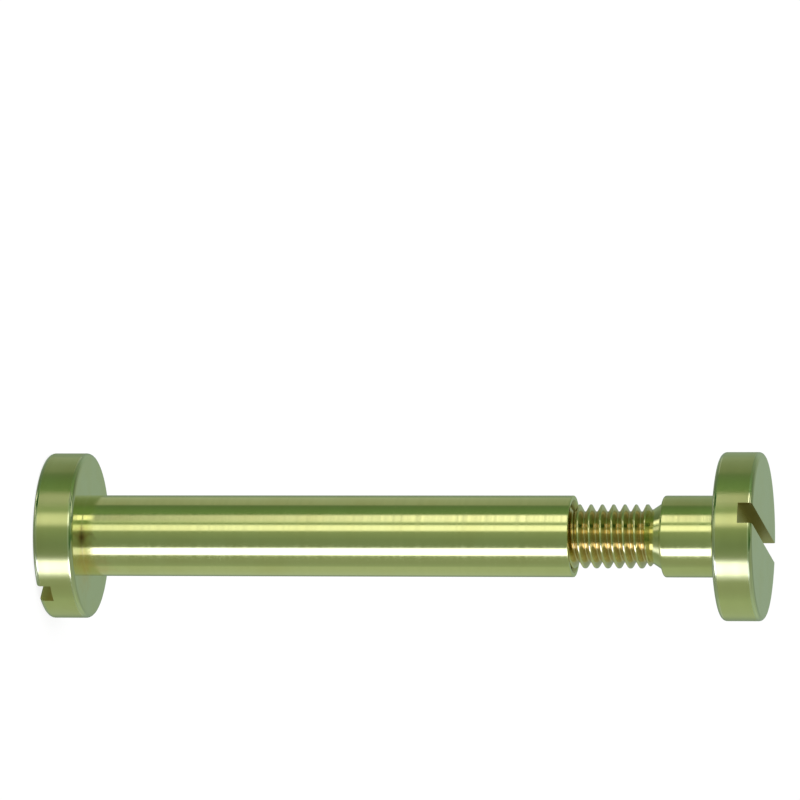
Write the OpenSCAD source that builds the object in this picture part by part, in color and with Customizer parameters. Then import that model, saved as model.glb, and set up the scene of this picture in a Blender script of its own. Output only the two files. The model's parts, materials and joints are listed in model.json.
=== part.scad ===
// Slotted barrel nut and screw: a two-piece fastener that clamps panels between two flat heads.
// It stands on the barrel nut's head, with its axis on Z and the screw on top, partly unscrewed.

/* [Barrel nut] */
// Outside diameter of the barrel, and of the screw's shoulder
barrel_d = 5; // [4.9:0.1:6.5]
// Length of the barrel above its head
barrel_length = 30.4; // [20:0.1:50]
// Diameter of the barrel nut's head
nut_head_d = 10.2; // [8:0.1:14]
// Thickness of the barrel nut's head
nut_head_height = 2.5; // [2:0.1:4]
// Depth that the tapped hole has to spare below the screw's tip when the set is closed
spare_depth = 3; // [1:0.5:6]
// Included angle of the drill point at the bottom of the hole
drill_angle = 118; // [90:1:140]

/* [Screw] */
// Diameter of the screw's head
screw_head_d = 10.3; // [8:0.1:14]
// Thickness of the screw's head
screw_head_height = 2.5; // [2:0.1:4]
// Length of the plain shoulder under the head
shoulder_length = 3.6; // [1:0.1:10]
// Length from the shoulder's face to the tip
thread_length = 8.8; // [8:0.1:12]
// Outside diameter of the thread
thread_d = 3.92; // [3.6:0.02:4]
// Pitch of the thread
pitch = 0.7; // [0.5:0.05:0.8]
// Diameter of the neck between the thread and the shoulder
neck_d = 3.3; // [3.1:0.05:3.35]
// Number of whole turns by which the screw stands out of the nut
turns_out = 8; // [0:1:9]

/* [Driver slots] */
// Width of both slots
slot_width = 1.2; // [0.8:0.1:1.6]
// Depth of both slots
slot_depth = 0.9; // [0.5:0.1:1.2]
// Direction of the barrel nut's slot about the axis
nut_slot_angle = 135; // [0:1:180]
// Direction of the screw's slot about the axis
screw_slot_angle = 76; // [0:1:180]
// Distance of the screw's slot from the axis, as sawn
screw_slot_offset = 0.2; // [0:0.05:0.3]

/* [Edges and clearances] */
// Edge break on the rims of both heads
head_edge = 0.2; // [0.05:0.05:0.3]
// Edge break round the front of the shoulder
shoulder_edge = 0.15; // [0.05:0.05:0.15]
// Edge break round the barrel's mouth
mouth_edge = 0.1; // [0.05:0.05:0.2]
// Width of the flat land between the mouth's edge break and its countersink
mouth_land = 0.15; // [0.1:0.05:0.2]
// Room between the thread's crest and the wall of the hole
thread_clearance = 0.08; // [0.05:0.01:0.1]
// Room between the countersink and the cone behind the thread when the set is closed
cone_clearance = 0.15; // [0.1:0.05:0.35]

/* [Hidden] */
$fn = 96;
brass = [0.76, 0.75, 0.36];
// Past the surface that a cut goes through
overcut = 1;

// Heights along the axis
nut_seat_z = nut_head_height;
mouth_z = nut_seat_z + barrel_length;
shoulder_z = mouth_z + turns_out * pitch;
screw_seat_z = shoulder_z + shoulder_length;
tip_z = shoulder_z - thread_length;

// Radii of the hole, its countersink, and the cone that leads from the shoulder down to the neck
barrel_r = barrel_d / 2;
thread_r = thread_d / 2;
hole_r = thread_r + thread_clearance;
countersink_r = barrel_r - mouth_edge - mouth_land;
cone_r = countersink_r - cone_clearance;
neck_r = neck_d / 2;
hole_depth = thread_length + spare_depth;

// A 60 degree thread, with a crest an eighth of the pitch wide
flank_angle = 30;
thread_depth = 0.6134 * pitch;
root_r = thread_r - thread_depth;
root_flat = 7 / 8 * pitch - 2 * thread_depth * tan(flank_angle);
tip_chamfer = 0.85 * pitch;
// The relief behind the thread: a cone from the shoulder down to the neck, then a flank up to the crest
cone_angle = 33;
relief_z = shoulder_z - (cone_r - neck_r) / tan(cone_angle);
relief_angle = 40;
crest_z = relief_z - (thread_r - neck_r) * tan(relief_angle);

// The cutter stands a little out of the work, but less than would join two of its turns.
// It starts off the tip, and backs out of the work as it reaches the relief.
cutter_r = thread_r + pitch / 20;
steps_per_turn = 24;
cut_start_z = tip_z - pitch;
cut_turns = (relief_z - cut_start_z) / pitch;
back_out_turns = 0.75;
back_out_depth = thread_depth + pitch / 10;

// A disc with both edges broken
module head(diameter, height) {
  r = diameter / 2;
  rotate_extrude()
    polygon([
      [0, 0], [r - head_edge, 0], [r, head_edge],
      [r, height - head_edge], [r - head_edge, height], [0, height]
    ]);
}

// A slot right across a head, cut down from z = 0
module slot(diameter, angle, off_axis = 0) {
  rotate([0, 0, angle])
    translate([-diameter, off_axis - slot_width / 2, -slot_depth])
      cube([2 * diameter, slot_width, slot_depth + overcut]);
}

// The hole in the barrel, from its mouth at z = 0 down to the drill point
module tapped_hole() {
  point_height = hole_r / tan(drill_angle / 2);
  rotate_extrude()
    polygon([
      [0, overcut], [0, -hole_depth - point_height], [hole_r, -hole_depth],
      [hole_r, hole_r - countersink_r], [countersink_r, 0], [countersink_r, overcut]
    ]);
}

// How far the cutter has backed out when it has made this many turns
function back_out(turn) =
  back_out_depth * max(0, turn - cut_turns + back_out_turns) / back_out_turns;

// The cutter's outline on the helix: two corners at the root and two outside the crest, as [radius, height]
function cutter_outline() =
  let (rise = (cutter_r - root_r) * tan(flank_angle), half = root_flat / 2)
  [[root_r, -half], [cutter_r, -half - rise], [cutter_r, half + rise], [root_r, half]];

// A right-handed helical cut round the shank, from below the tip up to the relief
module thread_cut() {
  outline = cutter_outline();
  corners = len(outline);
  steps = ceil(cut_turns * steps_per_turn);
  // On the +X side the crests lie whole pitches below the shoulder, and the cut lies between them
  start_turn = (cut_start_z - shoulder_z) / pitch + 1 / 2;
  points = [
    for (i = [0 : steps])
      let (turn = i / steps_per_turn, angle = 360 * (turn + start_turn))
      for (c = outline)
        let (r = c[0] + back_out(turn))
        [r * cos(angle), r * sin(angle), cut_start_z + turn * pitch + c[1]]
  ];
  sides = [
    for (i = [0 : steps - 1], j = [0 : corners - 1])
      let (a = i * corners + j, b = i * corners + (j + 1) % corners)
      each [[a, b, a + corners], [b, b + corners, a + corners]]
  ];
  first = [for (j = [0 : corners - 1]) corners - 1 - j];
  last = [for (j = [0 : corners - 1]) steps * corners + j];
  polyhedron(points, concat([first, last], sides));
}

module barrel_nut() {
  color(brass)
  difference() {
    union() {
      head(nut_head_d, nut_head_height);
      rotate_extrude()
        polygon([
          [0, nut_seat_z / 2], [barrel_r, nut_seat_z / 2], [barrel_r, mouth_z - mouth_edge],
          [barrel_r - mouth_edge, mouth_z], [0, mouth_z]
        ]);
    }
    translate([0, 0, mouth_z]) tapped_hole();
    mirror([0, 0, 1]) slot(nut_head_d, nut_slot_angle);
  }
}

module screw() {
  color(brass)
  difference() {
    union() {
      translate([0, 0, screw_seat_z]) head(screw_head_d, screw_head_height);
      // Shoulder, relief, shank and tip, turned as one and sunk into the head
      rotate_extrude()
        polygon([
          [0, screw_seat_z + screw_head_height / 2], [barrel_r, screw_seat_z + screw_head_height / 2],
          [barrel_r, shoulder_z + shoulder_edge], [barrel_r - shoulder_edge, shoulder_z],
          [cone_r, shoulder_z], [neck_r, relief_z], [thread_r, crest_z],
          [thread_r, tip_z + tip_chamfer], [root_r, tip_z], [0, tip_z]
        ]);
    }
    thread_cut();
    translate([0, 0, screw_seat_z + screw_head_height])
      slot(screw_head_d, screw_slot_angle, screw_slot_offset);
  }
}

barrel_nut();
screw();
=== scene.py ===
# %% [markdown]
# # A slotted barrel nut and its screw
# This fastener clamps panels between two flat heads. One piece is a plain brass barrel with a tapped
# hole in its mouth, the other a shoulder screw that turns into it. Both were turned on a lathe from
# brass bar, so nearly every surface here is one outline carried round one axis. The lesson builds
# the two pieces from such outlines, gives each surface the finish that its tool left, and lights
# them the way shiny metal is lit in a studio.
#
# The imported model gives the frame: the set stands on the nut's head, its axis is Z and lengths are
# in metres.

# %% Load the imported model
import bmesh
import bpy
import json
import math
import numpy as np
from mathutils import Matrix, Vector


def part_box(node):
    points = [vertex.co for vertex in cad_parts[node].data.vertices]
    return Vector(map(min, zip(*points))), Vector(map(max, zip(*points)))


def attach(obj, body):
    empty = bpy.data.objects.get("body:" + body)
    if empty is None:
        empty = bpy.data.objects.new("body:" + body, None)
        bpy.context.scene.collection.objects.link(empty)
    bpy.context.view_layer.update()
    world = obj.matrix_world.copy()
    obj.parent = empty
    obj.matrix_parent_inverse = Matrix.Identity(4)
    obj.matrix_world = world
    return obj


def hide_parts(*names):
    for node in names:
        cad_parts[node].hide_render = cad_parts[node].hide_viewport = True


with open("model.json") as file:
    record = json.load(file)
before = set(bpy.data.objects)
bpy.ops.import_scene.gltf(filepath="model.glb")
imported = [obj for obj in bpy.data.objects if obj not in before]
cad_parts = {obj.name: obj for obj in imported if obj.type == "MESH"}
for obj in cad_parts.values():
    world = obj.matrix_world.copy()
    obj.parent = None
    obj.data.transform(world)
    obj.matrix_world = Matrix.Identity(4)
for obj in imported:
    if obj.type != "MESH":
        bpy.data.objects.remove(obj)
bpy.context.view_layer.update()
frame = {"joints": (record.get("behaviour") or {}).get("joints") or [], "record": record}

# %% [markdown]
# ## Sizes
# Sizes that the solids already hold are read from them: the boxes of the two nodes, and the mounts,
# which give the seats, the slots' floors and the barrel's radius. The joint's lower limit says how
# far the screw still has to travel before its shoulder meets the mouth, so that places the shoulder.
# Only what these don't give is written out below, in millimetres turned to metres by `mm`.

# %% Read the sizes
mm = 0.001
mounts = {m["name"]: m for m in frame["record"]["mounts"]}
nut_low, nut_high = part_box("barrel_nut")
screw_low, screw_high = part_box("screw")

barrel_r = mounts["shank"]["dims"]["r_mm"] * mm
nut_seat_z = mounts["nut_seat"]["pos_m"][2]
screw_seat_z = mounts["screw_seat"]["pos_m"][2]
nut_slot_depth = mounts["nut_slot"]["pos_m"][2] - nut_low.z
screw_slot_depth = screw_high.z - mounts["screw_slot"]["pos_m"][2]
mouth_z = nut_high.z
shoulder_z = mouth_z - frame["joints"][0]["range_m"][0]
print(f"barrel radius {barrel_r / mm:.2f} mm")
print(f"mouth at {mouth_z / mm:.2f} mm, shoulder at {shoulder_z / mm:.2f} mm")

# %% [markdown]
# ## Outlines
# An outline is a list of points (r, z), as a turner would draw half a section. Round edges are arcs.
# A smooth shader bends the light over a whole face when one end of it is rounded, so each long
# straight run also gets a point close to each of its ends, which keeps the middle of the run flat.

# %% Arcs and straight runs
# in metres, far below any size here
tiny = 1e-9


def arc(centre, radius, start, end, steps=6):
    """A round edge: centre plus radius times the cosine and sine of each angle from start to end."""
    a = np.radians(np.linspace(start, end, steps))
    return np.column_stack((centre[0] + radius * np.cos(a), centre[1] + radius * np.sin(a)))


def held(outline, hold=0.02 * mm):
    """The outline with a point at distance hold from each end of every run longer than four holds."""
    outline = np.asarray(outline, float)
    step = np.diff(outline, axis=0)
    length = np.linalg.norm(step, axis=1)
    share = (hold / np.maximum(length, tiny))[:, None]
    start, end = outline[:-1], outline[1:]
    points = np.stack((start, start + share * step, end - share * step), axis=1)
    keep = np.stack((length >= 0, length > 4 * hold, length > 4 * hold), axis=1)
    return np.vstack((points[keep], outline[-1:]))


print("an edge of", len(arc((0, 0), 1, 0, 90)), "points")

# %% [markdown]
# ## Chords across a slotted head
# A slot breaks the round: a plain revolve would smear it over its segments. So the columns of the
# revolve are laid out for the slot. Seen along the axis, the head's face is drawn as chords that run
# along the slot. On each edge of the slot there are three: one on the face, one just below it, which
# makes a small broken edge, and one on the slot's floor. The ends of the chords give the angles of
# the columns, so the face and the revolve share their edge.

# %% Lay out the chords
slot_half = 0.6 * mm
slot_edge = 0.03 * mm


def chords(face_r, slot_depth, offset=0.0, sweep=44, across=8):
    """The angle of each chord's end from the slot's line, and each chord's depth below the face.

    They go from one side of the head to the other. A chord at distance v from the axis ends at the
    angle whose sine is v over the face's radius.
    """
    low, high = offset - slot_half, offset + slot_half
    edge = np.arcsin(np.array((low - slot_edge, low, high, high + slot_edge)) / face_r)
    before = np.linspace(-math.pi / 2, edge[0], sweep)
    floor = np.linspace(edge[1], edge[2], across)
    after = np.linspace(edge[3], math.pi / 2, sweep)
    angle = np.concatenate((before, edge[1:2], floor, edge[2:3], after))
    flat = np.zeros(sweep)
    depth = np.concatenate((flat, [slot_edge], np.full(across, slot_depth), [slot_edge], flat))
    return angle, depth


def round_columns(angle, depth, turn):
    """The chords' ends in order round the axis: one end of each, then the others on the way back."""
    columns = turn + np.concatenate((angle, math.pi - angle[::-1]))
    return columns, np.concatenate((depth, depth[::-1]))


print(len(chords(screw_high.x, screw_slot_depth)[0]), "chords across a head")

# %% [markdown]
# ## Surfaces
# Every surface is a grid of points, so its faces follow from the grid's shape alone. `chorded_face`
# is a function of the chord and the place along it. `turned` carries an outline round the axis.
# `sunk` lowers what lies in the slot to the slot's floor, on a head that faces up (1) or down (-1).

# %% Grids of points


def sunk(z, face_z, depth, up):
    """The height z, or the slot's level where that is lower, with lower meaning away from up."""
    return up * np.minimum(up * z, up * face_z - depth)


def chorded_face(angle, depth, turn, face_r, face_z, up, along=41):
    """x runs along a chord of half length face_r cos(angle), y is face_r sin(angle), z its level.

    The whole is then turned round the axis.
    """
    u = np.sin(np.linspace(-math.pi / 2, math.pi / 2, along))[:, None]
    x = u * face_r * np.cos(angle)
    y = np.broadcast_to(face_r * np.sin(angle), x.shape)
    z = np.broadcast_to(face_z - up * depth, x.shape)
    turned_x = x * math.cos(turn) - y * math.sin(turn)
    turned_y = x * math.sin(turn) + y * math.cos(turn)
    return np.stack((turned_x, turned_y, z), axis=-1)


def turned(columns, r, z):
    """x = r cos(column), y = r sin(column), with r and z given for each row and column."""
    return np.stack(np.broadcast_arrays(r * np.cos(columns), r * np.sin(columns), z), axis=-1)


def quads(grid, first):
    """The four corners of each cell of a grid whose points are numbered from first."""
    number = first + np.arange(grid.shape[0] * grid.shape[1]).reshape(grid.shape[:2])
    corners = (number[:-1, :-1], number[1:, :-1], number[1:, 1:], number[:-1, 1:])
    return np.stack(corners, axis=-1).reshape(-1, 4)


print("a grid of 3 by 4 points has", len(quads(np.zeros((3, 4, 3)), 0)), "cells")

# %% [markdown]
# ## The thread
# The screw's thread is a right-handed V of 60 degrees with a pitch of 0.7 mm. Along a line parallel
# to the axis, its radius repeats each pitch, and one turn further round it has moved up by one
# pitch. If the rows of the grid climb with the helix, crest and root fall exactly on rows, and a row
# meets the one a pitch higher where the columns close. At both ends the rows are pressed flat on to
# the end's plane, and the doubled points are welded away afterwards. The nut's thread is the same
# groove with some room added, in phase with the screw's.

# %% Thread form
pitch = 0.7 * mm
thread_r = 1.96 * mm
# the usual depth of a 60 degree metric thread
thread_depth = 0.6134 * pitch
flank_angle = math.radians(30)
root_r = thread_r - thread_depth
flank = thread_depth * math.tan(flank_angle)
crest_half = 0.05 * mm
soft = 0.02 * mm


def thread_outline():
    """(height above a crest's middle, radius) over a pitch, with eased corners at crest and root."""
    down = np.array([
        # the crest and its eased corner
        [0, thread_r],
        [crest_half - soft, thread_r - 0.002 * mm],
        [crest_half, thread_r - 0.010 * mm],
        [crest_half + soft, thread_r - 0.036 * mm],
        # the straight flank
        [crest_half + flank * 0.36, thread_r - thread_depth * 0.36],
        [crest_half + flank * 0.64, thread_r - thread_depth * 0.64],
        # the root's eased corner, and the root
        [crest_half + flank - 1.5 * soft, root_r + 0.052 * mm],
        [crest_half + flank, root_r + 0.016 * mm],
        [crest_half + flank + 1.5 * soft, root_r + 0.003 * mm],
        [pitch / 2, root_r],
    ])
    up = down[-2:0:-1] * (-1, 1) + (pitch, 0)
    return np.vstack((down, up))


form = thread_outline()


def thread_radius(columns, z):
    """The form's radius at a column and height: at angle 0 a crest is level with the shoulder."""
    rise = z - shoulder_z - pitch * columns / (2 * math.pi)
    return np.interp(rise % pitch, form[:, 0], form[:, 1], period=pitch)


def helical_rows(columns, low, high):
    """Heights that climb a pitch a turn, from high down to low, pressed on to these at the ends."""
    climb = pitch * columns / (2 * math.pi)
    first = math.floor((low - shoulder_z - climb.max()) / pitch)
    last = math.ceil((high - shoulder_z - climb.min()) / pitch)
    crests = shoulder_z + pitch * np.arange(first, last + 1)[:, None]
    rows = (crests + form[:, 0]).reshape(-1, 1) + climb
    return np.clip(rows[::-1], low, high)


print(len(form), "rows a pitch")
print(f"{2 * thread_r / mm:.2f} mm over the crests, {2 * root_r / mm:.2f} mm at the roots")

# %% [markdown]
# ## Which tool made which face
# Each tool leaves its own finish, so each cell of a grid gets a number: turned on the barrel and the
# shoulder, faced on the heads' flats and rounded edges, formed on their rims, milled in the slots,
# threaded on the shank, tapped in the hole. A cell's number is worked out from where it lies, so the
# finishes stay in place when a size changes.

# %% Number the finishes
TURNED, FACED, FORMED, MILLED, THREADED, TAPPED = range(6)


def face_finish(depth):
    """Milled on the cells of the slot's floor and walls, faced on the rest of the head's face."""
    return np.where((depth[:-1] > slot_edge) | (depth[1:] > slot_edge), MILLED, FACED)


def side_finish(depth, r, z, seat_z, floor_z, up):
    """Formed on the rim, faced on its edges and the seat, turned past it, milled in the slot's ends."""
    low = np.minimum(up * z[:-1], up * z[1:]) - up * seat_z
    upright = np.abs(np.diff(r, axis=0)) < tiny
    head = np.where(low < -tiny, TURNED, np.where(upright, FORMED, FACED))
    slotted = (low >= up * (floor_z - seat_z) - tiny) & (face_finish(depth) == MILLED)
    return np.where(slotted, MILLED, head)


print("finishes are numbered from", TURNED, "to", TAPPED)

# %% [markdown]
# ## A slotted blank
# Both pieces start alike: a slotted face, and below it all that is turned together with its rim. So
# one function makes this blank from an outline that starts at the face's edge, and the screw and
# the nut differ only in their sizes and in which way their head faces.

# %% Make a blank


def slotted_blank(outline, face_r, face_z, up, seat_z, slot_depth, slot_turn, slot_offset=0.0):
    """The columns round the axis, the grids of face and turned side, and the finishes of both."""
    angle, depth = chords(face_r, slot_depth, slot_offset)
    columns, sink = round_columns(angle, depth, slot_turn)
    face = chorded_face(angle, depth, slot_turn, face_r, face_z, up)
    r, z = outline[:, :1], outline[:, 1:]
    side = turned(columns, r, sunk(z, face_z, sink, up))
    side_marks = side_finish(sink, r, z, seat_z, face_z - up * slot_depth, up)
    return columns, (face, side), (face_finish(depth), side_marks)


# %% [markdown]
# ## From grids to a closed mesh
# The grids of one piece share their edges point for point. Welding those points closes the piece,
# and turning all faces outwards finishes it. Smooth shading makes the small facets look round, and
# corners sharper than a set angle stay crisp.

# %% Weld grids into a piece
weld_distance = 0.0002 * mm
sharp_angle = math.radians(38)


def welded_piece(name, grids, finishes):
    """One closed mesh from grids of points, with a finish number for each cell of each grid."""
    first = np.cumsum([0] + [g.shape[0] * g.shape[1] for g in grids])
    points = np.vstack([g.reshape(-1, 3) for g in grids])
    faces = np.vstack([quads(g, n) for g, n in zip(grids, first)])
    cells = [(g.shape[0] - 1, g.shape[1] - 1) for g in grids]
    finish = np.concatenate([np.broadcast_to(f, c).ravel() for f, c in zip(finishes, cells)])
    mesh = bpy.data.meshes.new(name)
    mesh.from_pydata(points.tolist(), [], faces.tolist())
    mesh.polygons.foreach_set("material_index", finish.astype(np.int32))
    work = bmesh.new()
    work.from_mesh(mesh)
    bmesh.ops.remove_doubles(work, verts=work.verts, dist=weld_distance)
    bmesh.ops.recalc_face_normals(work, faces=work.faces)
    open_edges = sum(not e.is_manifold for e in work.edges)
    work.to_mesh(mesh)
    work.free()
    mesh.shade_smooth()
    mesh.set_sharp_from_angle(angle=sharp_angle)
    piece = bpy.data.objects.new(name, mesh)
    bpy.context.scene.collection.objects.link(piece)
    print(f"{name}: {len(mesh.polygons)} faces, {open_edges} open edges")
    return piece


print(f"points within {weld_distance / mm:.4f} mm of each other are welded")

# %% [markdown]
# ## The screw
# From the top: the slotted face, the rim, the seat under the head, the plain shoulder, and a cone
# down to the neck behind the thread. Everything from the face's edge to the neck was turned, so one
# outline holds it all.

# %% Draw the screw's outline
head_edge = 0.28 * mm
corner = 0.015 * mm
shoulder_edge = 0.15 * mm
cone_r = 2.1 * mm
cone_angle = math.radians(33)
neck_r = 1.65 * mm
relief_z = shoulder_z - (cone_r - neck_r) / math.tan(cone_angle)
screw_top = screw_high.z
screw_r = screw_high.x

screw_outline = held(np.vstack((
    arc((screw_r - head_edge, screw_top - head_edge), head_edge, 90, 0),
    [(screw_r, screw_top - screw_slot_depth)],
    arc((screw_r - head_edge, screw_seat_z + head_edge), head_edge, 0, -90),
    arc((barrel_r + corner, screw_seat_z - corner), corner, 90, 180),
    arc((barrel_r - shoulder_edge, shoulder_z + shoulder_edge), shoulder_edge, 0, -90),
    [(cone_r, shoulder_z), (neck_r, relief_z)],
)))
print(len(screw_outline), "points from the face's edge to the relief")

# %% [markdown]
# ## The screw's thread and slot
# The thread was cut into a plain shank with a chamfered tip. A cut only takes metal away, so the
# shank's radius is the lesser of the blank's and the thread's. Where the tool backed out at the
# neck, the cut gets shallower. The slot was sawn a little off the axis.

# %% Cut the thread and weld the screw
relief_angle = math.radians(40)
relief_run = (thread_r - neck_r) * math.tan(relief_angle)
back_out_run = 0.75 * pitch
tip_z = screw_low.z
tip_chamfer = 0.85 * pitch
screw_slot_turn = math.radians(76)
screw_slot_offset = 0.2 * mm


def shank_blank(z):
    """The shank before threading: full radius between the relief's flank and the tip's chamfer."""
    heights = [tip_z, tip_z + tip_chamfer, relief_z - relief_run, relief_z]
    return np.interp(z, heights, [root_r, thread_r, thread_r, neck_r])


def threaded_shank(columns, z):
    """The lesser of blank and thread, with a cut that gets shallower as the tool backs out."""
    back_out = np.interp(z, [relief_z - back_out_run, relief_z], [0, neck_r - root_r])
    return np.minimum(thread_radius(columns, z) + back_out, shank_blank(z))


def make_screw():
    """The slotted blank down to the relief, the threaded shank, and the flat of the tip."""
    columns, grids, finishes = slotted_blank(
        screw_outline, screw_r - head_edge, screw_top, 1, screw_seat_z,
        screw_slot_depth, screw_slot_turn, screw_slot_offset)
    z = helical_rows(columns, tip_z, relief_z)
    shank = turned(columns, threaded_shank(columns, z), z)
    tip = turned(columns, np.array([[root_r], [0.0]]), tip_z)
    return welded_piece("turned_screw", (*grids, shank, tip), (*finishes, THREADED, THREADED))


screw = make_screw()

# %% [markdown]
# ## The barrel nut
# The same steps the other way up: a slotted face that the set stands on, the rim, the seat, and the
# long barrel with a small rounded edge at its mouth.

# %% Draw the nut's outline
nut_r = nut_high.x
mouth_edge = 0.04 * mm
countersink_r = 2.25 * mm

nut_outline = held(np.vstack((
    arc((nut_r - head_edge, nut_low.z + head_edge), head_edge, -90, 0),
    [(nut_r, nut_low.z + nut_slot_depth)],
    arc((nut_r - head_edge, nut_seat_z - head_edge), head_edge, 0, 90),
    arc((barrel_r + corner, nut_seat_z + corner), corner, -90, -180),
    arc((barrel_r - mouth_edge, mouth_z - mouth_edge), mouth_edge, 0, 90),
    [(countersink_r, mouth_z)],
)))
print(len(nut_outline), "points from the face's edge to the mouth")

# %% [markdown]
# ## The nut's hole
# A countersink leads into the hole. Its first millimetre is bored out to the thread's full width,
# which leaves room for the cone behind the screw's thread when the set is closed. Below that it is
# tapped, and a drill point ends it. Each tool only widens a hole, so the radius is the greatest of
# what the tap, the bore and the countersink cut.

# %% Tap the hole and weld the nut
nut_slot_turn = math.radians(135)
thread_room = 0.06 * mm
tapped_r = root_r + 0.12 * mm
counterbore_depth = 1.05 * mm
tapped_depth = 10.4 * mm
drilled_depth = 11.8 * mm
drill_half_angle = math.radians(59)
drill_point = tapped_r / math.tan(drill_half_angle)


def tapped_hole(columns, z):
    """The screw's form plus some room, fading where the tap ended.

    At the mouth the hole is the widest of this thread, the counterbore and the countersink.
    """
    bottom, bored = mouth_z - tapped_depth, mouth_z - counterbore_depth
    wide_r = thread_r + thread_room
    fade = np.interp(z, [bottom, bottom + pitch], [tapped_r, wide_r])
    cut = np.minimum(thread_radius(columns, z) + thread_room, fade)
    bore = np.interp(z, [bored - (wide_r - tapped_r), bored], [tapped_r, wide_r])
    return np.maximum(np.maximum(cut, bore), countersink_r - (mouth_z - z))


def make_barrel_nut():
    """The slotted blank up to the mouth, the tapped hole, and the drilled end of the hole."""
    columns, grids, finishes = slotted_blank(
        nut_outline, nut_r - head_edge, nut_low.z, -1, nut_seat_z, nut_slot_depth, nut_slot_turn)
    z = helical_rows(columns, mouth_z - tapped_depth, mouth_z)
    hole = turned(columns, tapped_hole(columns, z), z)
    end_r = np.array([[tapped_r], [tapped_r], [0.0]])
    end_z = mouth_z - np.array([[tapped_depth], [drilled_depth], [drilled_depth + drill_point]])
    end = turned(columns, end_r, end_z)
    return welded_piece("turned_barrel_nut", (*grids, hole, end), (*finishes, TAPPED, TAPPED))


barrel_nut = make_barrel_nut()

# %% [markdown]
# ## Shader helpers
# Each finish is a small node tree on one Principled shader. These helpers add a node and give back
# the socket that the next node reads, so that a finish below reads as a few lines.

# %% Node helpers


def new_metal(name, colour, roughness, rings=0.0):
    """A metal of one colour and roughness, whose gloss spreads across the rings by the share rings."""
    quarter_turn = 0.25
    material = bpy.data.materials.new(name)
    material.use_nodes = True
    nodes, links = material.node_tree.nodes, material.node_tree.links
    shader = nodes["Principled BSDF"]
    shader.inputs["Base Color"].default_value = (*colour, 1)
    shader.inputs["Metallic"].default_value = 1
    shader.inputs["Roughness"].default_value = roughness
    shader.inputs["Anisotropic"].default_value = rings
    shader.inputs["Anisotropic Rotation"].default_value = quarter_turn
    return material, nodes, links, shader


def feed(links, socket, value):
    """Link a socket's value, or set a plain one."""
    if isinstance(value, bpy.types.NodeSocket):
        links.new(value, socket)
    else:
        socket.default_value = value


def math_node(nodes, links, operation, first, second=0.0):
    """A Math node of two inputs, each a socket or a number."""
    node = nodes.new("ShaderNodeMath")
    node.operation = operation
    feed(links, node.inputs[0], first)
    feed(links, node.inputs[1], second)
    return node.outputs[0]


def ranged(nodes, links, value, source, target):
    """The value carried from one range to another, held at its ends."""
    node = nodes.new("ShaderNodeMapRange")
    feed(links, node.inputs["Value"], value)
    for name, number in zip(("From Min", "From Max", "To Min", "To Max"), (*source, *target)):
        node.inputs[name].default_value = number
    return node.outputs[0]


def mixed(nodes, links, share, first, second):
    """Two colours mixed by a share."""
    node = nodes.new("ShaderNodeMix")
    node.data_type = "RGBA"
    feed(links, node.inputs[0], share)
    for socket, colour in zip((node.inputs[6], node.inputs[7]), (first, second)):
        feed(links, socket, colour if isinstance(colour, bpy.types.NodeSocket) else (*colour, 1))
    return node.outputs[2]


# %% [markdown]
# ## Fine marks
# Tool marks and tarnish are irregular, so they come from noise with marks of a known size. Marks too
# shallow to model are bump, which tilts the light and leaves the surface where it is.

# %% Bump and noise


def bumped(nodes, links, shader, height, depth):
    """Bump of that depth, in metres, on the shader's normal."""
    bump = nodes.new("ShaderNodeBump")
    bump.inputs["Distance"].default_value = depth
    links.new(height, bump.inputs["Height"])
    links.new(bump.outputs["Normal"], shader.inputs["Normal"])


def noise(nodes, links, place, size, detail=2.0):
    """Noise with marks about as large as size, in one dimension where the place is a number."""
    node = nodes.new("ShaderNodeTexNoise")
    node.inputs["Scale"].default_value = 1 / size
    node.inputs["Detail"].default_value = detail
    if place.type == "VALUE":
        node.noise_dimensions = "1D"
        links.new(place, node.inputs["W"])
    else:
        links.new(place, node.inputs["Vector"])
    return node.outputs[0]


# %% [markdown]
# ## Where a lathe's rings lie
# A lathe leaves fine rings: round the axis on a cylinder, and round the centre on a face. One number
# tells the rings apart on both, the height plus the distance from the axis, because on a cylinder
# only the height changes and on a face only the distance. All finishes read Object coordinates,
# which are metres on these pieces.

# %% Distance and ring


def lathe_place(nodes, links):
    """(place, distance from the axis, height plus that distance), each a socket in metres."""
    place = nodes.new("ShaderNodeTexCoord").outputs["Object"]
    parts = nodes.new("ShaderNodeSeparateXYZ")
    links.new(place, parts.inputs[0])
    x, y, height = parts.outputs
    square = [math_node(nodes, links, "MULTIPLY", side, side) for side in (x, y)]
    distance = math_node(nodes, links, "SQRT", math_node(nodes, links, "ADD", *square))
    return place, distance, math_node(nodes, links, "ADD", height, distance)


# %% [markdown]
# ## Painted shade in the corner
# The corner between the nut's barrel and its seat, on the side that faces the camera, is painted
# with shade: a small dark mark, and a wider, fainter one beside it. A painted picture of them would
# need a UV map, but the distance from a point of that corner needs none. Noise makes the edges of
# the marks uneven.

# %% Painted shade in the corner
# a browner brass: painted shade beside the nut's corner and in the nut's slot
PAINTED_SHADE_BRASS = (0.78, 0.64, 0.30)
# a dark brown: painted shade in the corner itself
CORNER_SHADE_BROWN = (0.34, 0.22, 0.08)
# the range that most values of a noise texture lie in
MOST_OF_NOISE = (0.3, 0.7)
# painted shade in the corner between the nut's barrel and its seat, on the camera's side
corner_shade_marks = (
    # tint, the point's distance from the middle towards +X, reach
    (PAINTED_SHADE_BRASS, 1.9 * mm, 2.0 * mm),
    (CORNER_SHADE_BROWN, 0.1 * mm, 0.9 * mm),
)


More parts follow.
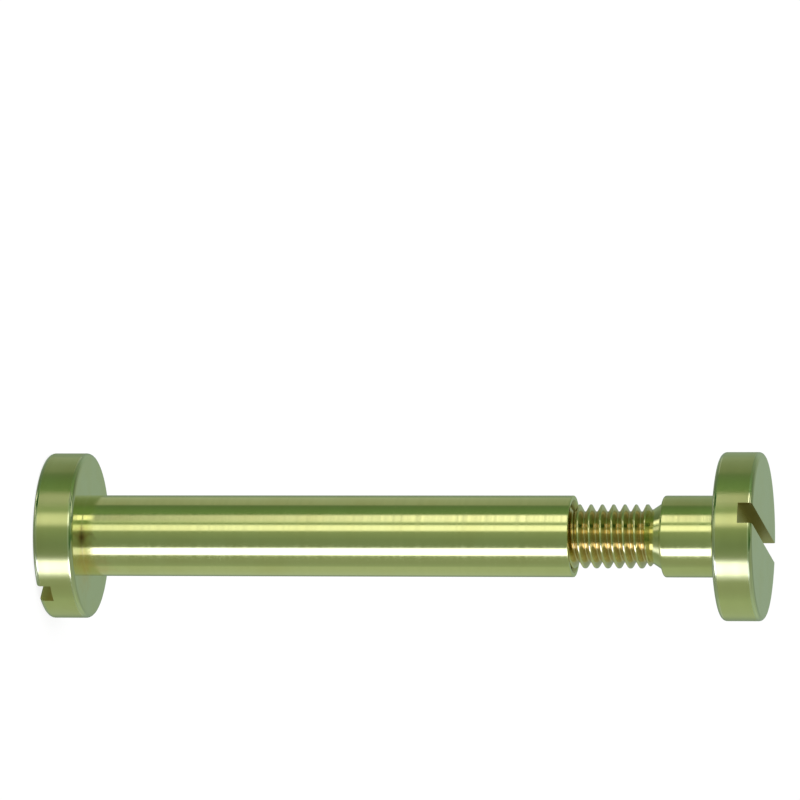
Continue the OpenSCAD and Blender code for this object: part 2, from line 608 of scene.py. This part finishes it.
def near_corner(nodes, links, place, side, reach):
    """1 at a point of the corner between barrel and seat, falling to 0 at about the reach."""
    away = nodes.new("ShaderNodeVectorMath")
    away.operation = "DISTANCE"
    links.new(place, away.inputs[0])
    away.inputs[1].default_value = (side, -math.sqrt(barrel_r ** 2 - side ** 2), nut_seat_z)
    blots = noise(nodes, links, place, 0.5 * mm, 3)
    uneven = ranged(nodes, links, blots, MOST_OF_NOISE, (-0.25 * reach, 0.25 * reach))
    off = math_node(nodes, links, "ADD", away.outputs["Value"], uneven)
    return ranged(nodes, links, off, (0, reach), (1, 0))


# these marks are painted shade
print(len(corner_shade_marks), "oil marks at a height of", round(nut_seat_z / mm, 2), "mm")

# %% [markdown]
# ## Turned, faced and formed brass
# Free-cutting brass is a pale, slightly green yellow, a little browner where fingers have been. The
# barrel and the shoulder were finished with a fine feed, so they are nearly bright. The flats are a
# little paler and glossier. The rims were formed in one plunge of a wide tool, which leaves coarser
# rings. Rings spread a reflection across themselves and keep it sharp along themselves, and the
# shader's Anisotropic input does that without drawing each ring. The marks that can be seen are
# less than a thousandth of a millimetre deep, so they are bump, and they vary the gloss a little.

# %% Turned, faced and formed finishes
BRASS = (0.76, 0.75, 0.36)
FACED_BRASS = (0.73, 0.74, 0.48)
WARM_BRASS = (0.70, 0.66, 0.28)
patch_size = 2.5 * mm


def lathe_brass(name, clean, rings, gloss, ring_width, ring_depth):
    """Brass with faint warmer patches, the painted corner shade, and rings that also vary the
    roughness.
    """
    material, nodes, links, shader = new_metal(name, clean, gloss[0], rings)
    place, _, ring = lathe_place(nodes, links)
    bumped(nodes, links, shader, noise(nodes, links, ring, ring_width), ring_depth)
    patches = noise(nodes, links, place, patch_size, 4)
    warm = ranged(nodes, links, patches, (0.45, 0.75), (0, 0.5))
    colour = mixed(nodes, links, warm, clean, WARM_BRASS)
    # painted shade in the corner between the nut's barrel and its seat
    for tint, side, reach in corner_shade_marks:
        colour = mixed(nodes, links, near_corner(nodes, links, place, side, reach), colour, tint)
    links.new(colour, shader.inputs["Base Color"])
    bands = noise(nodes, links, ring, 6 * ring_width, 4)
    links.new(ranged(nodes, links, bands, MOST_OF_NOISE, gloss), shader.inputs["Roughness"])
    return material


turned_brass = lathe_brass("turned_brass", BRASS, 0.5, (0.12, 0.18), 0.06 * mm, 0.0008 * mm)
faced_brass = lathe_brass("faced_brass", FACED_BRASS, 0.2, (0.10, 0.15), 0.08 * mm, 0.0004 * mm)
formed_brass = lathe_brass("formed_brass", BRASS, 1.0, (0.29, 0.33), 0.12 * mm, 0.0006 * mm)
print("brass", BRASS, "on", turned_brass.name, faced_brass.name, formed_brass.name)

# %% [markdown]
# ## Slots, thread and hole
# The saw left lines along the slots. Both slots are painted browner, as painted shade in their
# recesses, the screw's darker than the nut's. The thread is painted browner and darker towards its
# roots as painted shade, and paler on its crests as a painted highlight; the roots are also duller.
# The hole is painted dark as painted shade, and is dull. So the slots' pattern is stretched along
# the slot by a Mapping node, and the thread's colour follows the distance from the axis.

# %% Milled, threaded and tapped finishes
# a darker brown: painted shade in the screw's slot
SLOT_SHADE_BROWN = (0.52, 0.43, 0.13)
# a darker brown: painted shade in the hole
HOLE_SHADE_BROWN = (0.50, 0.41, 0.17)
# browner and darker: painted shade in the thread's roots
ROOT_SHADE_BROWN = (0.68, 0.54, 0.26)
# paler: a painted highlight on the thread's crests
CREST_HIGHLIGHT_BRASS = (0.82, 0.76, 0.42)


def milled_brass(name, colour, turn):
    """Brass with straight saw lines, from noise that is stretched along the slot."""
    material, nodes, links, shader = new_metal(name, colour, 0.4)
    place = nodes.new("ShaderNodeTexCoord").outputs["Object"]
    along = nodes.new("ShaderNodeMapping")
    along.inputs["Rotation"].default_value = (0, 0, -turn)
    along.inputs["Scale"].default_value = (0.03, 1, 1)
    links.new(place, along.inputs["Vector"])
    lines = noise(nodes, links, along.outputs[0], 0.06 * mm, 3)
    bumped(nodes, links, shader, lines, 0.004 * mm)
    share = ranged(nodes, links, lines, (0.35, 0.7), (0, 0.45))
    links.new(mixed(nodes, links, share, colour, WARM_BRASS), shader.inputs["Base Color"])
    return material


def threaded_brass():
    """Painted shade in the roots and a painted highlight on the crests, by the distance from the axis,
    with tarnish.
    """
    material, nodes, links, shader = new_metal("threaded_brass", ROOT_SHADE_BROWN, 0.25)
    place, distance, _ = lathe_place(nodes, links)
    root_to_crest = root_r + 0.05 * mm, thread_r - 0.02 * mm
    crest = ranged(nodes, links, distance, root_to_crest, (0, 1))
    tarnish = noise(nodes, links, place, 0.25 * mm, 3)
    uneven = ranged(nodes, links, tarnish, MOST_OF_NOISE, (0.6, 1.2))
    share = math_node(nodes, links, "MULTIPLY", crest, uneven)
    links.new(mixed(nodes, links, share, ROOT_SHADE_BROWN, CREST_HIGHLIGHT_BRASS), shader.inputs["Base Color"])
    links.new(ranged(nodes, links, crest, (0, 1), (0.15, 0.11)), shader.inputs["Roughness"])
    return material


def tapped_brass():
    """Darker brass in the hole as painted shade, brighter on the countersink."""
    material, nodes, links, shader = new_metal("tapped_brass", HOLE_SHADE_BROWN, 0.35)
    _, distance, ring = lathe_place(nodes, links)
    lip = ranged(nodes, links, distance, (thread_r, countersink_r), (0, 1))
    links.new(mixed(nodes, links, lip, HOLE_SHADE_BROWN, WARM_BRASS), shader.inputs["Base Color"])
    bumped(nodes, links, shader, noise(nodes, links, ring, 0.08 * mm), 0.003 * mm)
    return material


# the slots' browner colours are painted shade in their recesses
screw_slot = milled_brass("milled_screw_slot", SLOT_SHADE_BROWN, screw_slot_turn)
nut_slot = milled_brass("milled_nut_slot", PAINTED_SHADE_BRASS, nut_slot_turn)
threaded = threaded_brass()
tapped = tapped_brass()
print("browner:", screw_slot.name, nut_slot.name, threaded.name, tapped.name)

# %% [markdown]
# ## Dress the pieces
# The finishes go on in the order of their numbers. The nut has no threaded cells, but that finish
# keeps its place there, so that the tapped one keeps its number. Each piece then rides on the body
# that moves it and takes the place of the plain solid there, which is hidden.

# %% Put the finishes on the pieces
shared = turned_brass, faced_brass, formed_brass
screw_finishes = *shared, screw_slot, threaded
nut_finishes = *shared, nut_slot, threaded, tapped
dressed = (screw, "screw", screw_finishes), (barrel_nut, "barrel_nut", nut_finishes)
for piece, body, finishes in dressed:
    for material in finishes:
        piece.data.materials.append(material)
    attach(piece, body)
    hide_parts(body)
    print(piece.name, [m.name for m in finishes])

# %% [markdown]
# ## Floor
# The set stands on a plain white floor that fills the picture. Seen by the camera it is white, and
# it still keeps a soft shadow: most of what the camera sees is a white glow, and the rest is floor
# that the lamp lights. The metal doesn't mirror the floor, because cards stand round the set
# instead.

# %% White floor
floor_half = 2.0
matt_white = (0.85, 0.85, 0.85, 1)


def seen_directly(nodes, links):
    """1 on rays from the camera, a reflection or a see-through surface, 0 on rays that gather light."""
    path = nodes.new("ShaderNodeLightPath")
    camera_ray, glossy_ray = path.outputs["Is Camera Ray"], path.outputs["Is Glossy Ray"]
    both = math_node(nodes, links, "MAXIMUM", camera_ray, glossy_ray)
    return math_node(nodes, links, "MAXIMUM", both, path.outputs["Is Transmission Ray"])


def stage_piece(name, grid, material):
    """A grid of points as a stage object, which is not part of the set."""
    mesh = bpy.data.meshes.new(name)
    mesh.from_pydata(grid.reshape(-1, 3).tolist(), [], quads(grid, 0).tolist())
    mesh.materials.append(material)
    piece = bpy.data.objects.new(name, mesh)
    bpy.context.scene.collection.objects.link(piece)
    return piece


def white_floor(glow=0.86):
    """A glow of 1 for what is seen directly, mixed with a lit matt white that takes the shadow."""
    material = bpy.data.materials.new("white_floor")
    material.use_nodes = True
    nodes, links = material.node_tree.nodes, material.node_tree.links
    nodes.clear()
    lit = nodes.new("ShaderNodeBsdfDiffuse")
    lit.inputs["Color"].default_value = matt_white
    mix = nodes.new("ShaderNodeMixShader")
    share = math_node(nodes, links, "MULTIPLY", seen_directly(nodes, links), glow)
    links.new(share, mix.inputs[0])
    links.new(lit.outputs[0], mix.inputs[1])
    links.new(nodes.new("ShaderNodeEmission").outputs[0], mix.inputs[2])
    links.new(mix.outputs[0], nodes.new("ShaderNodeOutputMaterial").inputs[0])
    return material


floor_x, floor_y = np.meshgrid((-floor_half, floor_half), (-floor_half, floor_half))
floor_grid = np.stack((floor_x, floor_y, 0 * floor_x), axis=-1)
floor = stage_piece("floor", floor_grid, white_floor())
floor.visible_glossy = False
print("floor", tuple(floor.dimensions))

# %% [markdown]
# ## World
# What lies beyond the floor is white too where it is seen directly. The light that surfaces gather
# from all round is weaker, so that the lamp's shadow on the floor isn't washed out.

# %% World


def white_world(fill=0.6):
    """A white background for what is seen directly, and a weaker fill for what gathers light."""
    world = bpy.data.worlds.new("studio")
    bpy.context.scene.world = world
    world.use_nodes = True
    nodes, links = world.node_tree.nodes, world.node_tree.links
    background = nodes["Background"]
    background.inputs["Color"].default_value = (1, 1, 1, 1)
    seen = math_node(nodes, links, "MULTIPLY", seen_directly(nodes, links), 1 - fill)
    links.new(math_node(nodes, links, "ADD", seen, fill), background.inputs["Strength"])


white_world()
print("world", bpy.context.scene.world.name)

# %% [markdown]
# ## Studio cards
# Bright round stock shows its surroundings as lines along its axis, so a studio puts cards round it:
# bright ones make the lines and dark ones the gaps. Here one tall tube stands round the set and
# glows by direction and height. Its walls are dim and a little green. Most of the warm strips stand
# on the -X side, and one tall, bluish soft box stands on the +X side. The fine barrel mirrors them,
# and the coarser rims mix them with the wall above and below. Patches high up and near the floor are
# there for slanted faces: the rounded edges, and the cone behind the thread. A level below zero
# darkens the wall, as the patch over the camera does.
#
# Directions are degrees round the axis from the camera's side towards +X, and heights are degrees
# above level.

# %% Levels of the cards
WARM = np.array((1.0, 0.97, 0.92))
COOL = np.array((0.92, 0.95, 1.35))
wall = (
    # direction, level of red, green and blue
    (-180, 0.245, 0.315, 0.235),
    (-150, 0.26, 0.34, 0.28),
    (-125, 0.18, 0.25, 0.18),
    (-100, 0.14, 0.20, 0.12),
    (-90, 0.12, 0.20, 0.10),
    (-77, 0.14, 0.24, 0.11),
    (-66, 0.17, 0.28, 0.13),
    (-60, 0.02, 0.09, 0.02),
    (-46, 0.02, 0.09, 0.02),
    (-41, 0.24, 0.35, 0.19),
    (-10, 0.27, 0.35, 0.22),
    (12, 0.21, 0.28, 0.19),
    (30, 0.21, 0.28, 0.19),
    (62, 0.30, 0.37, 0.27),
    (80, 0.28, 0.34, 0.25),
    (100, 0.32, 0.41, 0.30),
    (140, 0.33, 0.42, 0.32),
    (160, 0.23, 0.30, 0.25),
    (180, 0.245, 0.315, 0.235),
)
wall_by_height = (
    # height, factor on the wall's level
    (-45, 0.85),
    (-25, 1.1),
    (-16, 1.0),
    (-6, 1.0),
    (4, 1.15),
    (14, 1.3),
    (20, 1.3),
    (45, 1.0),
)
strips = (
    # from, to, level, lowest, highest, tint
    (-142, -98, 0.20, -16, -5, WARM),
    (-60.5, -45, 0.60, -13.8, -4, WARM),
    (-63, -41, 1.25, -9.0, -3, WARM),
    (-60.5, -45, 2.10, 10, 18, WARM),
    (-45, -37, 0.42, -13.8, -4, WARM),
    (-31, -14.5, 1.05, -15, 9, WARM),
    (-31, -14.5, 0.90, 9, 24, WARM),
    (-31, -14.5, 0.25, -60, -15, WARM),
    (97, 150, 0.12, -16, -5, WARM),
    # the soft box, from its top down
    (35, 56.5, 0.85, 6, 24, COOL),
    (32, 60, 3.00, 0, 6, COOL),
    (35.5, 55.5, 3.00, -30, 0, COOL),
    (38.5, 52.5, 1.10, -60, -30, COOL),
    # a high patch, for the rounded edges
    (-72, -45, 1.00, 42, 68, WARM),
    # patches near the floor, for the cone behind the thread
    (-104, -82, 1.60, -72, -56, WARM),
    (-68, -48, 0.90, -78, -62, WARM),
    (78, 108, 1.20, -72, -56, COOL),
    # a dark patch over the camera
    (-14, 22, -0.17, 22, 92, WARM),
)
print(len(strips), "strips and patches")

# %% [markdown]
# ## The tube
# Each card could be a lamp of its own, but they would be many, and their edges hard to match. One
# tube with a colour on each of its points holds them all, and an Emission shader reads that colour.
# The tube is hidden from the camera, from shadows and from light that is gathered, so it shows in
# reflections alone.

# %% Tube of cards


def between(x, low, high, soft_edge=4.0):
    """1 between low and high, falling to 0 over a soft edge at each."""
    rise = np.clip((x - low) / soft_edge + 0.5, 0, 1)
    return rise * np.clip((high - x) / soft_edge + 0.5, 0, 1)


def tube_glow(direction, height):
    """The wall's colour by direction times its factor by height, plus each strip in its own patch."""
    at, *levels = np.transpose(wall)
    glow = np.stack([np.interp(direction, at, level) for level in levels], axis=-1)
    glow *= np.interp(height, *np.transpose(wall_by_height))[..., None]
    for start, end, level, lowest, highest, tint in strips:
        patch = level * between(direction, start, end) * between(height, lowest, highest)
        glow += patch[..., None] * tint
    return glow


def card_glow():
    """Emission by the tube's own colour attribute."""
    material = bpy.data.materials.new("card_glow")
    material.use_nodes = True
    nodes, links = material.node_tree.nodes, material.node_tree.links
    nodes.clear()
    colour = nodes.new("ShaderNodeVertexColor")
    colour.layer_name = "glow"
    light = nodes.new("ShaderNodeEmission")
    links.new(colour.outputs["Color"], light.inputs["Color"])
    links.new(light.outputs[0], nodes.new("ShaderNodeOutputMaterial").inputs[0])
    return material


def make_tube(radius=0.5):
    """x = radius sin(direction), y = -radius cos(direction), z = radius tan(height)."""
    directions, heights = np.linspace(-180, 180, 361), np.linspace(-88, 88, 89)
    direction, height = np.meshgrid(directions, heights)
    a = np.radians(direction)
    grid = np.stack((np.sin(a), -np.cos(a), np.tan(np.radians(height))), axis=-1) * radius
    tube = stage_piece("studio_tube", grid, card_glow())
    opaque = np.ones((*direction.shape, 1))
    glow = np.concatenate((tube_glow(direction, height), opaque), axis=-1)
    attribute = tube.data.color_attributes.new("glow", "FLOAT_COLOR", "POINT")
    attribute.data.foreach_set("color", glow.ravel())
    tube.visible_camera = False
    tube.visible_diffuse = False
    tube.visible_shadow = False
    tube.visible_transmission = False
    return tube


tube = make_tube()
print("a tube of", len(tube.data.polygons), "cells")

# %% [markdown]
# ## Lamp
# One large soft lamp overhead lights the floor evenly, so that the foot has a faint soft shadow.
# Reflections show the cards and not this lamp.

# %% Overhead lamp
lamp_data = bpy.data.lights.new("overhead", "AREA")
lamp_data.shape = "DISK"
lamp_data.size = 0.9
lamp_data.energy = 9
lamp = bpy.data.objects.new("overhead", lamp_data)
lamp.location = (-0.2, -0.15, 0.8)
lamp.rotation_euler = Vector(lamp.location).to_track_quat("Z", "Y").to_euler()
lamp.visible_glossy = False
bpy.context.scene.collection.objects.link(lamp)
print(f"lamp {lamp_data.size:.1f} m wide, {Vector(lamp.location).length:.2f} m away")

# %% [markdown]
# ## Camera
# The photograph shows the set lying across the picture, seen from a little beyond its screw's end.
# Here the set stands, so the camera stands in front of it, eleven degrees above the horizon, and is
# rolled a quarter turn: +Z then points to the right of the picture and -X up. It stands 43 cm away,
# which makes the far head 2% smaller than the near one and shows its inner face more openly, as in
# the photograph. The aim is moved off the set's middle, which leaves the set as low in the picture
# as the photograph does.

# %% Camera
picture = 800
sensor_width = 36
elevation = math.radians(11.1)
camera_distance = 0.43
pixels_per_metre = 16266
target = Vector((0, 0, 0.023))
target_pixel = (415.5, 536.1)
tilt = math.radians(0.09)

camera_data = bpy.data.cameras.new("camera")
camera_data.sensor_width = sensor_width
camera_data.lens = sensor_width * pixels_per_metre * camera_distance / picture
camera = bpy.data.objects.new("camera", camera_data)
back = Vector((0, -math.cos(elevation), math.sin(elevation)))
axis_right = Vector((0, math.sin(elevation), math.cos(elevation)))
axis_up = Vector((-1, 0, 0))
right = axis_right * math.cos(tilt) + axis_up * math.sin(tilt)
up = axis_up * math.cos(tilt) - axis_right * math.sin(tilt)
aim = target - right * ((target_pixel[0] - picture / 2) / pixels_per_metre)
aim = aim + up * ((target_pixel[1] - picture / 2) / pixels_per_metre)
camera.location = target + back * camera_distance
look = (camera.location - aim).normalized()
right = (right - look * right.dot(look)).normalized()
camera.rotation_euler = Matrix((right, look.cross(right), look)).transposed().to_euler()
bpy.context.scene.collection.objects.link(camera)
bpy.context.scene.camera = camera
bpy.context.scene.view_settings.view_transform = "Standard"
print(f"lens {camera_data.lens:.0f} mm")
